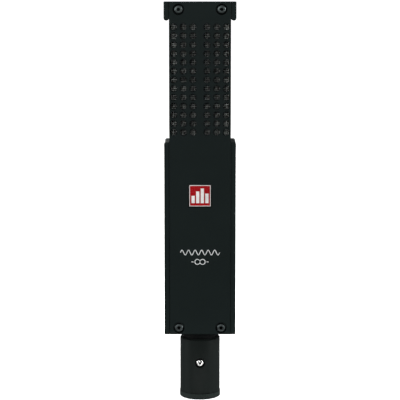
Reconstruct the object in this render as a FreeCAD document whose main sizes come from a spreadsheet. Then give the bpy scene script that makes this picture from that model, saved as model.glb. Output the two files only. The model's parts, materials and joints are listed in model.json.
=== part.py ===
"""Slim rectangular ribbon microphone.

A milled frame carries two flat cover plates. The ribbon motor sits in the upper chamber behind the
perforations, the electronics sit in the lower bay, and a round barrel holds the connector.

Millimetres. +Z is up, the origin is the centre of the barrel's mouth, and the front faces -Y.
"""

import FreeCAD, Part
import math
import os
import re

import Sketcher
from FreeCAD import Vector

SIZES = {
    # barrel and collar, from the mouth up
    "barrel_radius": 12.2,
    "barrel_height": 37.3,
    "barrel_top_wall": 4.0,
    "barrel_top_chamfer": 0.6,
    "lip_radius": 12.4,
    "lip_height": 3.6,
    "mouth_radius": 8.15,
    "mouth_depth": 3.0,
    "mouth_chamfer": 0.4,
    "latch_radius": 8.9,
    "latch_height": 2.5,
    "bore_radius": 8.1,
    "collar_radius": 10.25,
    "collar_height": 3.8,
    "cable_radius": 3.0,
    # connector
    "insert_radius": 7.95,
    "insert_face": 14.5,
    "insert_height": 12.0,
    "pin_radius": 1.2,
    "pin_shank_radius": 0.8,
    "pin_tip": 3.2,
    "pin_top": 30.0,
    "pin_circle": 4.05,
    "pin_round": 0.5,
    "pin_hole_gap": 0.05,
    "lock_height": 22.8,
    "lock_recess_radius": 2.8,
    "lock_recess_depth": 1.4,
    "lock_length": 5.6,
    "lock_thread_depth": 3.2,
    # body; heights are counted from the body's own bottom face
    "body_width": 43.0,
    "body_depth": 27.0,
    "body_height": 200.0,
    "plate_width": 36.7,
    "plate_thickness": 2.5,
    "plate_gap": 0.1,
    "plate_edge": 0.2,
    "cheek_setback": 0.3,
    "cheek_top": 116.9,
    "cheek_corner": 1.0,
    "ear_bottom": 188.9,
    "edge_break": 0.4,
    "screw_spacing": 25.5,
    "screw_low": 4.05,
    "screw_high": 195.5,
    # perforations
    "hole_radius": 1.925,
    "hole_first": 4.15,
    "hole_step": 5.75,
    "hole_columns": 3,
    "row_step": 5.19,
    "hole_rows": 13,
    # ribbon chamber, its gauze seats and the electronics bay
    "motor_height": 154.1,
    "chamber_width": 32.0,
    "chamber_height": 67.0,
    "seat_width": 35.6,
    "seat_height": 69.6,
    "seat_depth": 0.7,
    "gauze_thickness": 0.66,
    "gauze_gap": 0.15,
    "bay_width": 30.0,
    "bay_bottom": 9.0,
    "bay_top": 114.0,
    "corner_radius": 2.5,
    # badge
    "badge_size": 13.4,
    "badge_height": 84.9,
    "badge_seat": 0.5,
    "badge_thickness": 0.8,
    "badge_corner": 0.6,
    # screws; thread_gap is the play of everything that is pressed or screwed in
    "m3_radius": 1.5,
    "m3_head_radius": 2.85,
    "m3_head_height": 1.65,
    "m3_socket": 2.0,
    "m3_recess_radius": 3.15,
    "m3_recess_depth": 1.7,
    "m25_radius": 1.25,
    "m25_head_radius": 2.25,
    "m25_head_height": 1.3,
    "m25_socket": 1.5,
    "m2_radius": 1.0,
    "m2_head_radius": 1.9,
    "m2_head_height": 1.2,
    "m2_socket": 1.3,
    "m16_radius": 0.8,
    "m16_head_radius": 1.5,
    "m16_head_height": 1.0,
    "m16_socket": 0.9,
    "socket_share": 0.6,
    "dome_share": 0.8,
    "thread_gap": 0.05,
    "plate_thread_depth": 6.0,
    "plate_screw_length": 6.5,
    "motor_thread_depth": 3.2,
    "barrel_thread_depth": 6.0,
    "barrel_screw_circle": 5.6,
    "barrel_screw_length": 13.0,
    # how far a cut runs past the face that it opens
    "overcut": 1.0,
    # ribbon motor; its pieces are measured from the ribbon's centre
    "ribbon_width": 4.8,
    "ribbon_thickness": 0.06,
    "ribbon_length": 54.8,
    "ribbon_tab": 3.2,
    "ribbon_wave": 0.35,
    "ribbon_folds": 36,
    "magnet_gap": 5.4,
    "magnet_height": 46.0,
    "yoke_width": 21.0,
    "yoke_height": 62.0,
    "yoke_depth": 8.0,
    "yoke_window": 16.0,
    "yoke_window_height": 56.0,
    "yoke_corner": 1.0,
    "yoke_screw_across": 9.25,
    "yoke_screw_up": 26.0,
    "yoke_screw_length": 5.0,
    "yoke_thread_depth": 3.5,
    "clamp_bar_width": 11.0,
    "clamp_bar_thickness": 1.8,
    "clamp_screw_offset": 4.0,
    "clamp_screw_length": 4.5,
    "clamp_thread_depth": 3.2,
    "motor_plate_width": 31.0,
    "motor_plate_height": 65.4,
    "motor_plate_thickness": 2.0,
    "motor_screw_across": 13.2,
    "motor_screw_up": 30.3,
    "motor_screw_length": 6.0,
    "isolator_thickness": 1.0,
    "isolator_radius": 2.2,
    "boss_width": 5.5,
    "boss_height": 6.5,
    "boss_front": 7.0,
    "boss_root": 0.25,
    # electronics
    "board_width": 29.0,
    "board_height": 98.0,
    "board_thickness": 1.6,
    "board_middle": 61.0,
    "board_face": 3.0,
    "board_screw_length": 4.0,
    "lug_width": 4.0,
    "lug_height": 7.0,
    "lug_across": 13.0,
    "lug_up": 44.5,
    "can_radius": 12.5,
    "can_depth": 12.0,
    "can_wall": 0.8,
    "can_height": 88.9,
    "can_round": 1.2,
    "core_middle": 6.2,
    "core_width": 4.0,
    "core_depth": 7.0,
    "winding_width": 7.4,
    "winding_depth": 10.2,
    "winding_gap": 0.2,
    "winding_sweep": 150.0,
    "transformer_bolt_length": 16.0,
    "nut_flats": 5.5,
    "nut_height": 2.4,
    "component_across": 7.5,
    "capacitor_radius": 4.0,
    "capacitor_length": 11.5,
    "capacitor_round": 0.6,
    "capacitor_low": 46.0,
    "capacitor_step": 10.0,
    "capacitor_count": 3,
    "film_width": 7.2,
    "film_height": 3.5,
    "film_low": 59.0,
    "film_step": 7.0,
    "film_count": 2,
    "transistor_radius": 2.4,
    "transistor_length": 4.6,
    "transistor_flat": 1.44,
    "transistor_low": 30.0,
    "transistor_step": 9.0,
    "transistor_count": 3,
    "resistor_radius": 1.15,
    "resistor_length": 6.3,
    "resistor_low": 21.0,
    "resistor_step": 3.8,
    "resistor_count": 6,
    "grommet_forward": 6.5,
    "grommet_radius": 2.6,
    "grommet_flange": 3.6,
    "grommet_bore": 1.3,
    "grommet_lip": 1.0,
    "lead_radius": 0.4,
    "lead_spacing": 1.1,
    "lead_side": 12.4,
    "lead_clearance": 1.0,
    "lead_inset": 2.0,
    "wire_radius": 0.55,
    "wire_circle": 1.3,
    "wire_stub": 1.0,
    "wire_gap": 0.2,
    "wire_clearance": 2.0,
    "wire_forward": 2.0,
    "wire_spacing": 4.0,
    "wire_inset": 4.0,
}

doc = FreeCAD.newDocument("ribbon_microphone")
sheet = doc.addObject("Spreadsheet::Sheet", "Sizes")
for row, (alias, number) in enumerate(SIZES.items(), start=1):
    sheet.set(f"A{row}", str(number))
    sheet.setAlias(f"A{row}", alias)
doc.recompute()

# the frame's bottom face, and the ribbon's centre above the mouth
BODY_BASE = "(barrel_height + collar_height)"
MOTOR_BASE = f"({BODY_BASE} + motor_height)"
# from the middle plane to a cover's inner face, and the width of the frame beside a cover
CORE_HALF = "(body_depth / 2 - plate_thickness)"
CHEEK = "((body_width - plate_width) / 2)"
# from the ribbon's centre to the middle of a clamp
CLAMP_MIDDLE = "((ribbon_length - ribbon_tab) / 2)"

# turn covered and number of pieces, for the rings about the barrel's axis
SCREW_RING = (360, 3)
CONTACT_RING = (180, 3)

# how near a measured edge must be to the place it is looked for
TOLERANCE = 1e-3

sub_parts = []


# ---------------------------------------------------------------- shared helpers


def size(alias):
    """A driving dimension, read from the sheet."""
    return float(sheet.get(alias))


def bind(thing, path, formula):
    """Ties a property to a formula written in the sheet's aliases."""
    prefixed = re.sub(
        r"[a-z]\w*", lambda word: f"Sizes.{word[0]}" if word[0] in SIZES else word[0], formula
    )
    thing.setExpression(path, prefixed)


def place(thing, x="0", y="0", z="0"):
    """Puts a sub-part at a place given by three formulas."""
    for axis, formula in zip("xyz", (x, y, z)):
        bind(thing, f".Placement.Base.{axis}", formula)


def sub_part(thing, label):
    """Names a finished sub-part; its label names its file."""
    thing.Label = label
    sub_parts.append(thing)
    return thing


def new_body(label, x="0", y="0", z="0"):
    body = doc.addObject("PartDesign::Body", label)
    body.AllowCompound = True
    place(body, x, y, z)
    return sub_part(body, label)


def origin_part(body, role):
    """One of the body's own planes or axes, found by its role."""
    return next(part for part in body.Origin.OriginFeatures if part.Role == role)


def sketch_on(body, plane, across="0", up="0", out="0"):
    """A sketch on one of the body's own planes, moved within the plane and out along its normal.

    XY_Plane: across +X, up +Y, out +Z. XZ_Plane: across +X, up +Z, out -Y.
    """
    sketch = body.newObject("Sketcher::SketchObject", "Sketch")
    sketch.AttachmentSupport = [(origin_part(body, plane), "")]
    sketch.MapMode = "FlatFace"
    for axis, formula in zip("xyz", (across, up, out)):
        bind(sketch, f".AttachmentOffset.Base.{axis}", formula)
    return sketch


def constrain(sketch, name, formula, *args):
    """Adds a named constraint and ties it to a formula."""
    index = sketch.addConstraint(Sketcher.Constraint(*args))
    sketch.renameConstraint(index, name)
    bind(sketch, f"Constraints.{name}", formula)


def draw_rectangle(sketch, width, height, prefix=""):
    """A rectangle about the sketch's origin; a second one in a sketch needs a prefix of its own."""
    corners = [Vector(-1, -1), Vector(1, -1), Vector(1, 1), Vector(-1, 1)]
    base = sketch.GeometryCount
    right = base + 1
    for start, end in zip(corners, corners[1:] + corners[:1]):
        sketch.addGeometry(Part.LineSegment(start, end), False)
    for side in range(4):
        after = base + (side + 1) % 4
        sketch.addConstraint(Sketcher.Constraint("Coincident", base + side, 2, after, 1))
        level = "Horizontal" if side % 2 == 0 else "Vertical"
        sketch.addConstraint(Sketcher.Constraint(level, base + side))
    sketch.addConstraint(Sketcher.Constraint("Symmetric", base, 1, right, 2, -1, 1))
    constrain(sketch, f"{prefix}width", width, "DistanceX", base, 1, base, 2, 2.0)
    constrain(sketch, f"{prefix}height", height, "DistanceY", right, 1, right, 2, 2.0)
    return sketch


def draw_circle(sketch, radius):
    """A circle about the sketch's origin."""
    sketch.addGeometry(Part.Circle(Vector(0, 0), Vector(0, 0, 1), 1.0), False)
    sketch.addConstraint(Sketcher.Constraint("Coincident", 0, 3, -1, 1))
    constrain(sketch, "radius", radius, "Radius", 0, 1.0)
    return sketch


def draw_outline(sketch, corners):
    """A closed outline of straight lines through corners given as pairs of formulas."""
    count = len(corners)
    turns = [2 * math.pi * n / count for n in range(count)]
    start = [Vector(math.cos(turn), math.sin(turn)) for turn in turns]
    for n in range(count):
        sketch.addGeometry(Part.LineSegment(start[n], start[(n + 1) % count]), False)
    for n in range(count):
        sketch.addConstraint(Sketcher.Constraint("Coincident", n, 2, (n + 1) % count, 1))
    for n, (across, up) in enumerate(corners):
        constrain(sketch, f"across{n}", across, "DistanceX", -1, 1, n, 1, start[n].x)
        constrain(sketch, f"up{n}", up, "DistanceY", -1, 1, n, 1, start[n].y)
    return sketch


def draw_hexagon(sketch, across_flats):
    """A regular hexagon about the sketch's origin, with two flats level."""
    point = f"{across_flats} / sqrt(3)"
    half_flat = f"{point} / 2"
    flat = f"{across_flats} / 2"
    right = [(point, "0"), (half_flat, flat)]
    left = [(f"-{half_flat}", flat), (f"-{point}", "0"), (f"-{half_flat}", f"-{flat}")]
    return draw_outline(sketch, right + left + [(half_flat, f"-{flat}")])


def pad(body, sketch, length, backwards=False, both_ways=False):
    """Adds material along the sketch's normal, or evenly to both sides of it."""
    feature = body.newObject("PartDesign::Pad", "Pad")
    feature.Profile = sketch
    feature.SideType = "Symmetric" if both_ways else "One side"
    feature.Reversed = backwards
    bind(feature, "Length", length)
    doc.recompute()
    return feature


def pocket(body, sketch, length, along_normal=False, both_ways=False):
    """Cuts against the sketch's normal, along it, or to both sides, and checks that it cut."""
    before = body.Shape.Volume
    feature = body.newObject("PartDesign::Pocket", "Pocket")
    feature.Profile = sketch
    feature.SideType = "Symmetric" if both_ways else "One side"
    feature.Reversed = along_normal
    bind(feature, "Length", length)
    doc.recompute()
    assert body.Shape.Volume < before, f"a pocket in {body.Label} cut nothing"
    return feature


def revolve(body, sketch, axis=None):
    """Turns an outline about the sketch's vertical axis, or about one of the body's own axes."""
    feature = body.newObject("PartDesign::Revolution", "Revolution")
    feature.Profile = sketch
    feature.ReferenceAxis = (origin_part(body, axis), [""]) if axis else (sketch, ["V_Axis"])
    feature.Angle = 360
    doc.recompute()
    return feature


def mirror(body, features, plane):
    """Repeats features on the other side of one of the body's own planes."""
    feature = body.newObject("PartDesign::Mirrored", "Mirrored")
    feature.Originals = features
    feature.MirrorPlane = (origin_part(body, plane), [""])
    body.Tip = feature
    doc.recompute()
    return feature


def repeat(body, features, sketch, columns=None, rows=None, mirrors=()):
    """Repeats features in columns and rows, then across the planes named.

    columns and rows are each (span between the first and the last, count), along the sketch's axes.
    With no features named, the whole body is repeated.
    """
    steps = []
    for axis, spread in (("H_Axis", columns), ("V_Axis", rows)):
        if spread:
            step = body.newObject("PartDesign::LinearPattern", "Row")
            step.Direction = (sketch, [axis])
            bind(step, "Length", spread[0])
            bind(step, "Occurrences", spread[1])
            steps.append(step)
    for plane in mirrors:
        step = body.newObject("PartDesign::Mirrored", "Side")
        step.MirrorPlane = (origin_part(body, plane), [""])
        steps.append(step)
    feature = body.newObject("PartDesign::MultiTransform", "MultiTransform")
    if features:
        feature.Originals = features
    else:
        feature.TransformMode = "Whole shape"
    feature.Transformations = steps
    body.Tip = feature
    doc.recompute()
    return feature


def spaced(step, count):
    """The span and the count of a row whose pieces are one step apart."""
    return f"{step} * ({count} - 1)", count


def ring_of(body, features, angle, count):
    """Repeats features, or the whole body where none are named, about the body's own Z axis."""
    feature = body.newObject("PartDesign::PolarPattern", "PolarPattern")
    if features:
        feature.Originals = features
    else:
        feature.TransformMode = "Whole shape"
    feature.Axis = (origin_part(body, "Z_Axis"), [""])
    feature.Angle = angle
    feature.Occurrences = count
    body.Tip = feature
    doc.recompute()
    return feature


def edges_where(body, test):
    """Names of the body's edges that pass a test."""
    return [f"Edge{n}" for n, edge in enumerate(body.Shape.Edges, start=1) if test(edge)]


def dress(body, kind, names, amount):
    """Fillets or chamfers edges of the body's present tip."""
    base = body.Tip
    feature = body.newObject(f"PartDesign::{kind}", kind)
    feature.Base = (base, names)
    bind(feature, "Radius" if kind == "Fillet" else "Size", amount)
    body.Tip = feature
    doc.recompute()
    return feature


def is_fore_and_aft(edge):
    """True for a straight edge along Y."""
    return isinstance(edge.Curve, Part.Line) and abs(edge.Curve.Direction.y) > 1 - TOLERANCE


def circle_at(edge, radius):
    return isinstance(edge.Curve, Part.Circle) and abs(edge.Curve.Radius - radius) < TOLERANCE


def rounded_slab(body, width, height, thickness, corner):
    """A flat slab in the XZ plane, from y = 0 backwards, with its four corners rounded."""
    pad(body, draw_rectangle(sketch_on(body, "XZ_Plane"), width, height), thickness, backwards=True)
    dress(body, "Fillet", edges_where(body, is_fore_and_aft), corner)


def add_screw(body, axis, at, thread, length, head):
    """One socket-head screw along "y" or "z", its head's seat at three formulas.

    head is +1 or -1, the way the head points along the axis. Returns the socket's sketch.
    """
    x, y, z = at
    head_top = f"{head} * {thread}_head_height"
    shank_end = f"{-head} * {length}"
    corners = [
        ("0", shank_end),
        (f"{thread}_radius", shank_end),
        (f"{thread}_radius", "0"),
        (f"{thread}_head_radius", "0"),
        (f"{thread}_head_radius", head_top),
        ("0", head_top),
    ]
    if axis == "y":
        profile = sketch_on(body, "XY_Plane", x, y, z)
        face = sketch_on(body, "XZ_Plane", x, z, f"-({y} + {head_top})")
    else:
        profile = sketch_on(body, "XZ_Plane", x, z, f"-({y})")
        face = sketch_on(body, "XY_Plane", x, y, f"{z} + {head_top}")
    revolve(body, draw_outline(profile, corners))
    into_head = {"along_normal": (head > 0) == (axis == "y")}
    socket = draw_hexagon(face, f"{thread}_socket")
    pocket(body, socket, f"socket_share * {thread}_head_height", **into_head)
    rim_radius = size(f"{thread}_head_radius")
    rims = edges_where(body, lambda edge: circle_at(edge, rim_radius))
    free_rim = max(rims, key=lambda name: head * reach_along(body.Shape.getElement(name), axis))
    dress(body, "Fillet", [free_rim], f"dome_share * {thread}_head_height")
    return face


def reach_along(edge, axis):
    """How far along an axis an edge's middle lies."""
    return getattr(edge.CenterOfMass, axis)


def drill(body, plane, at, radius, depth, **direction):
    """One round hole; returns its feature, for a pattern to repeat."""
    sketch = draw_circle(sketch_on(body, plane, *at), radius)
    return pocket(body, sketch, depth, **direction)


def wire_along(points, radius, bend):
    """A round wire through points, its corners rounded to a bend radius."""
    edges = []
    start = points[0]
    for corner, after in zip(points[1:-1], points[2:]):
        incoming = (corner - start).normalize()
        outgoing = (after - corner).normalize()
        reach = bend * math.tan(incoming.getAngle(outgoing) / 2)
        begin = corner - incoming * reach
        end = corner + outgoing * reach
        inward = (outgoing - incoming).normalize()
        middle = corner + inward * (math.hypot(bend, reach) - bend)
        edges += [Part.makeLine(start, begin), Part.Arc(begin, middle, end).toShape()]
        start = end
    edges.append(Part.makeLine(start, points[-1]))
    path = Part.Wire(edges)
    section = Part.Wire(Part.makeCircle(radius, points[0], points[1] - points[0]))
    return path.makePipeShell([section], True, False)


# ---------------------------------------------------------------- body


def frame():
    """One milled piece: cap with ears, ribbon chamber, web, electronics bay and bottom block."""
    body = new_body("frame", z=BODY_BASE)
    block = draw_rectangle(sketch_on(body, "XY_Plane"), "body_width", "body_depth - 2 * cheek_setback")
    pad(body, block, "body_height")
    plate_seats(body)
    side_reliefs(body)
    outer_edges(body)
    openings(body)
    mounting_points(body)
    frame_holes(body)
    return body


def plate_seats(body):
    """Full-height seats that the cover plates lie in, front and rear."""
    seat = draw_rectangle(
        sketch_on(body, "XZ_Plane", up="body_height / 2", out=CORE_HALF),
        "plate_width + 2 * plate_gap",
        "body_height + overcut",
    )
    mirror(body, [pocket(body, seat, "plate_thickness", along_normal=True)], "XZ_Plane")


def side_reliefs(body):
    """The cheeks stop below the ears, and each ear ends in a half round."""
    side_x = f"(plate_width / 2 + {CHEEK})"
    ear_middle = f"(ear_bottom + {CHEEK} / 2)"
    relief = draw_rectangle(
        sketch_on(body, "XZ_Plane", across=side_x, up=f"({ear_middle} + cheek_top) / 2"),
        f"2 * {CHEEK}",
        f"{ear_middle} - cheek_top",
    )
    cut = pocket(body, relief, "body_depth", both_ways=True)
    mirror(body, [cut], "YZ_Plane")
    ear = draw_circle(
        sketch_on(body, "XZ_Plane", across=f"plate_width / 2 + {CHEEK} / 2", up=ear_middle),
        f"{CHEEK} / 2",
    )
    round_end = pad(body, ear, "body_depth - 2 * cheek_setback", both_ways=True)
    mirror(body, [round_end], "YZ_Plane")


def outer_edges(body):
    """Rounds the cheeks' top corners and bevels the four long outer edges."""
    half_width = size("body_width") / 2
    cheek_top = size("cheek_top")

    def is_cheek_top(edge):
        middle = edge.CenterOfMass - body.Placement.Base
        on_side = abs(abs(middle.x) - half_width) < TOLERANCE
        return is_fore_and_aft(edge) and on_side and abs(middle.z - cheek_top) < TOLERANCE

    dress(body, "Fillet", edges_where(body, is_cheek_top), "cheek_corner")
    corner = sketch_on(body, "XY_Plane", "body_width / 2", "body_depth / 2 - cheek_setback")
    diamond = [("edge_break", "0"), ("0", "edge_break"), ("-edge_break", "0"), ("0", "-edge_break")]
    bevel = pocket(body, draw_outline(corner, diamond), "body_height", along_normal=True)
    repeat(body, [bevel], corner, mirrors=["YZ_Plane", "XZ_Plane"])


def openings(body):
    """Ribbon chamber with its gauze seats, and electronics bay, all with rounded corners."""
    bay_middle = "(bay_top + bay_bottom) / 2"
    through = "body_depth"
    cut_window(body, "motor_height", "chamber_width", "chamber_height", through)
    cut_window(body, bay_middle, "bay_width", "bay_top - bay_bottom", through)
    seat = draw_rectangle(
        sketch_on(body, "XZ_Plane", up="motor_height", out=CORE_HALF), "seat_width", "seat_height"
    )
    mirror(body, [pocket(body, seat, "seat_depth")], "XZ_Plane")


def cut_window(body, middle, width, height, depth):
    """A rectangular opening right through the frame, with rounded corners."""
    sketch = draw_rectangle(sketch_on(body, "XZ_Plane", up=middle), width, height)
    pocket(body, sketch, depth, both_ways=True)
    wide = sketch.getDatum("width").Value
    tall = sketch.getDatum("height").Value
    centre = sketch.AttachmentOffset.Base.y

    def is_window_corner(edge):
        place_in_body = edge.CenterOfMass - body.Placement.Base
        at_side = abs(abs(place_in_body.x) - wide / 2) < TOLERANCE
        at_end = abs(abs(place_in_body.z - centre) - tall / 2) < TOLERANCE
        return is_fore_and_aft(edge) and at_side and at_end

    dress(body, "Fillet", edges_where(body, is_window_corner), "corner_radius")


def mounting_points(body):
    """Four bosses for the ribbon motor in the chamber, and four lugs for the board in the bay."""
    reach = "(chamber_height - boss_height) / 2"
    boss = draw_rectangle(
        sketch_on(
            body,
            "XZ_Plane",
            across="(chamber_width - boss_width) / 2 + boss_root",
            up=f"motor_height - {reach} - boss_root",
            out="-boss_front",
        ),
        "boss_width",
        "boss_height",
    )
    low_boss = pad(body, boss, f"{CORE_HALF} - seat_depth - boss_front", backwards=True)
    spread = (f"2 * ({reach} + boss_root)", "2")
    repeat(body, [low_boss], boss, rows=spread, mirrors=["YZ_Plane"])
    lug = draw_rectangle(
        sketch_on(body, "XZ_Plane", across="lug_across", up="board_middle - lug_up", out="-board_face"),
        "lug_width",
        "lug_height",
    )
    low_lug = pad(body, lug, "board_face")
    repeat(body, [low_lug], lug, rows=("2 * lug_up", "2"), mirrors=["YZ_Plane"])


def frame_holes(body):
    """Threads for every screw that ends in the frame, and the two cable passages."""
    for_plates = drill(
        body,
        "XZ_Plane",
        ("screw_spacing / 2", "screw_low", CORE_HALF),
        "m3_radius + thread_gap",
        "plate_thread_depth",
    )
    rows = ("screw_high - screw_low", "2")
    repeat(body, [for_plates], for_plates.Profile[0], rows=rows, mirrors=["YZ_Plane", "XZ_Plane"])
    for_motor = drill(
        body,
        "XZ_Plane",
        ("motor_screw_across", "motor_height - motor_screw_up", "-boss_front"),
        "m2_radius + thread_gap",
        "motor_thread_depth",
    )
    rows = ("2 * motor_screw_up", "2")
    repeat(body, [for_motor], for_motor.Profile[0], rows=rows, mirrors=["YZ_Plane"])
    for_board = drill(
        body,
        "XZ_Plane",
        ("lug_across", "board_middle - lug_up", "0"),
        "m2_radius + thread_gap",
        "board_face",
    )
    rows = ("2 * lug_up", "2")
    repeat(body, [for_board], for_board.Profile[0], rows=rows, mirrors=["YZ_Plane"])
    for_barrel = drill(
        body,
        "XY_Plane",
        ("0", "-barrel_screw_circle", "0"),
        "m25_radius + thread_gap",
        "barrel_thread_depth",
        along_normal=True,
    )
    ring_of(body, [for_barrel], *SCREW_RING)
    drill(body, "XY_Plane", ("0", "0", "0"), "cable_radius", "bay_bottom + overcut", along_normal=True)
    web = ("0", "-grommet_forward", "bay_top - overcut")
    depth = "motor_height - chamber_height / 2 - bay_top + 2 * overcut"
    drill(body, "XY_Plane", web, "grommet_radius + thread_gap", depth, along_normal=True)


def cover_plate(label, side, has_badge=False):
    """A flat cover: perforated over the ribbon chamber, with four recessed screw holes.

    side is -1 for the front cover and +1 for the rear one; its inner face lies on the core.
    """
    body = new_body(label, z=BODY_BASE)
    outwards = {"along_normal": side < 0}
    inner = f"{-side} * {CORE_HALF}"
    outer = f"{-side} * body_depth / 2"
    slab = sketch_on(body, "XZ_Plane", up="body_height / 2", out=inner)
    pad(body, draw_rectangle(slab, "plate_width", "body_height"), "plate_thickness", side > 0)
    hole = drill(
        body,
        "XZ_Plane",
        ("hole_first", "motor_height - row_step * (hole_rows - 1) / 2", inner),
        "hole_radius",
        "plate_thickness",
        **outwards,
    )
    columns = spaced("hole_step", "hole_columns")
    rows = spaced("row_step", "hole_rows")
    repeat(body, [hole], hole.Profile[0], columns, rows, mirrors=["YZ_Plane"])
    at = ("screw_spacing / 2", "screw_low")
    inwards = {"along_normal": side > 0}
    clearance = drill(
        body, "XZ_Plane", (*at, inner), "m3_radius + plate_gap", "plate_thickness", **outwards
    )
    recess = drill(
        body, "XZ_Plane", (*at, outer), "m3_recess_radius", "m3_recess_depth", **inwards
    )
    rows = ("screw_high - screw_low", "2")
    repeat(body, [clearance, recess], recess.Profile[0], rows=rows, mirrors=["YZ_Plane"])
    if has_badge:
        seat = sketch_on(body, "XZ_Plane", up="badge_height", out=outer)
        draw_rectangle(seat, "badge_size + 2 * plate_gap", "badge_size + 2 * plate_gap")
        pocket(body, seat, "badge_seat", **inwards)
    break_outer_edges(body, side)
    return body


def break_outer_edges(body, side):
    """Breaks a cover's outer rim."""
    face_y = side * size("body_depth") / 2
    half_width = size("plate_width") / 2
    height = size("body_height")

    def is_rim(edge):
        middle = edge.CenterOfMass - body.Placement.Base
        at_face = abs(middle.y - face_y) < TOLERANCE
        at_side = abs(abs(middle.x) - half_width) < TOLERANCE
        at_end = min(abs(middle.z), abs(middle.z - height)) < TOLERANCE
        return at_face and (at_side or at_end)

    dress(body, "Chamfer", edges_where(body, is_rim), "plate_edge")


def front_gauze():
    """Wire cloth, as a plain sheet, in the front seat of the ribbon chamber."""
    front_y = f"-({CORE_HALF} - (seat_depth - gauze_thickness) / 2)"
    body = new_body("front_gauze", y=front_y, z=MOTOR_BASE)
    width = "seat_width - 2 * gauze_gap"
    height = "seat_height - 2 * gauze_gap"
    rounded_slab(body, width, height, "gauze_thickness", "corner_radius")
    return body


def badge():
    """Square badge let into the front cover, standing slightly proud of it."""
    front_y = "-body_depth / 2 + badge_seat - badge_thickness"
    body = new_body("badge", y=front_y, z=f"{BODY_BASE} + badge_height")
    rounded_slab(body, "badge_size", "badge_size", "badge_thickness", "badge_corner")
    return body


def front_plate_screws():
    """The four button-head screws of the front cover."""
    body = new_body("front_plate_screws", z=BODY_BASE)
    seat_y = "-(body_depth / 2 - m3_recess_depth)"
    at = ("screw_spacing / 2", seat_y, "screw_low")
    face = add_screw(body, "y", at, "m3", "plate_screw_length", head=-1)
    repeat(body, [], face, rows=("screw_high - screw_low", "2"), mirrors=["YZ_Plane"])
    return body


def mirrored_copy(source, label, normal):
    """The same piece on the other side of a plane through the origin."""
    copy = doc.addObject("Part::Mirroring", label)
    copy.Source = source
    copy.Normal = normal
    return sub_part(copy, label)


# ---------------------------------------------------------------- barrel and connector


def neck_collar():
    """Dark ring between the body and the barrel."""
    body = new_body("neck_collar", z="barrel_height")
    pad(body, draw_circle(sketch_on(body, "XY_Plane"), "collar_radius"), "collar_height")
    cable = drill(body, "XY_Plane", ("0", "0", "0"), "cable_radius", "collar_height", along_normal=True)
    screw = drill(
        body,
        "XY_Plane",
        ("0", "-barrel_screw_circle", "0"),
        "m25_radius + plate_gap",
        "collar_height",
        along_normal=True,
    )
    ring_of(body, [screw], *SCREW_RING)
    return body


def barrel():
    """Round connector barrel: a lip and a latch groove at the mouth, and a solid top wall."""
    body = new_body("barrel")
    top_wall = "(barrel_height - barrel_top_wall)"
    groove_top = "(mouth_depth + latch_height)"
    corners = [
        ("mouth_radius + mouth_chamfer", "0"),
        ("lip_radius - mouth_chamfer", "0"),
        ("lip_radius", "mouth_chamfer"),
        ("lip_radius", "lip_height"),
        ("barrel_radius", "lip_height"),
        ("barrel_radius", "barrel_height - barrel_top_chamfer"),
        ("barrel_radius - barrel_top_chamfer", "barrel_height"),
        ("cable_radius", "barrel_height"),
        ("cable_radius", top_wall),
        ("bore_radius", top_wall),
        ("bore_radius", groove_top),
        ("latch_radius", groove_top),
        ("latch_radius", "mouth_depth"),
        ("mouth_radius", "mouth_depth"),
        ("mouth_radius", "mouth_chamfer"),
    ]
    revolve(body, draw_outline(sketch_on(body, "XZ_Plane"), corners))
    screw = drill(
        body,
        "XY_Plane",
        ("0", "-barrel_screw_circle", "barrel_height"),
        "m25_radius + plate_gap",
        "barrel_top_wall",
    )
    ring_of(body, [screw], *SCREW_RING)
    lock = ("0", "lock_height", "barrel_radius")
    drill(body, "XZ_Plane", lock, "m25_radius + plate_gap", "barrel_radius - cable_radius")
    drill(body, "XZ_Plane", lock, "lock_recess_radius", "lock_recess_depth")
    return body


def barrel_screws():
    """Three screws, put in through the mouth, that clamp barrel and collar to the body."""
    body = new_body("barrel_screws", z="barrel_height - barrel_top_wall")
    at = ("0", "-barrel_screw_circle", "0")
    add_screw(body, "z", at, "m25", "barrel_screw_length", head=-1)
    ring_of(body, [], *SCREW_RING)
    return body


def lock_screw():
    """Screw in the barrel's front that holds the connector insert."""
    body = new_body("lock_screw", z="lock_height")
    at = ("0", "-(barrel_radius - lock_recess_depth)", "0")
    add_screw(body, "y", at, "m25", "lock_length", head=-1)
    return body


def connector_insert():
    """Round insulator that carries the three contacts."""
    body = new_body("connector_insert", z="insert_face")
    pad(body, draw_circle(sketch_on(body, "XY_Plane"), "insert_radius"), "insert_height")
    contact = drill(
        body,
        "XY_Plane",
        ("pin_circle", "0", "0"),
        "pin_shank_radius + pin_hole_gap",
        "insert_height",
        along_normal=True,
    )
    ring_of(body, [contact], *CONTACT_RING)
    lock = ("0", "lock_height - insert_face", "insert_radius")
    drill(body, "XZ_Plane", lock, "m25_radius + thread_gap", "lock_thread_depth")
    return body


def contact_pins():
    """The three contacts, a quarter turn apart, with rounded tips and wires at the top."""
    body = new_body("contact_pins", z="pin_tip")
    shoulder = "(insert_face - pin_tip)"
    height = "(pin_top - pin_tip)"
    corners = [
        ("0", "0"),
        ("pin_radius - pin_round", "0"),
        ("pin_radius", "pin_round"),
        ("pin_radius", shoulder),
        ("pin_shank_radius", shoulder),
        ("pin_shank_radius", height),
        ("0", height),
    ]
    pin = revolve(body, draw_outline(sketch_on(body, "XZ_Plane", across="pin_circle"), corners))
    ring_of(body, [pin], *CONTACT_RING)
    return body


# ---------------------------------------------------------------- ribbon motor


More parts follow.
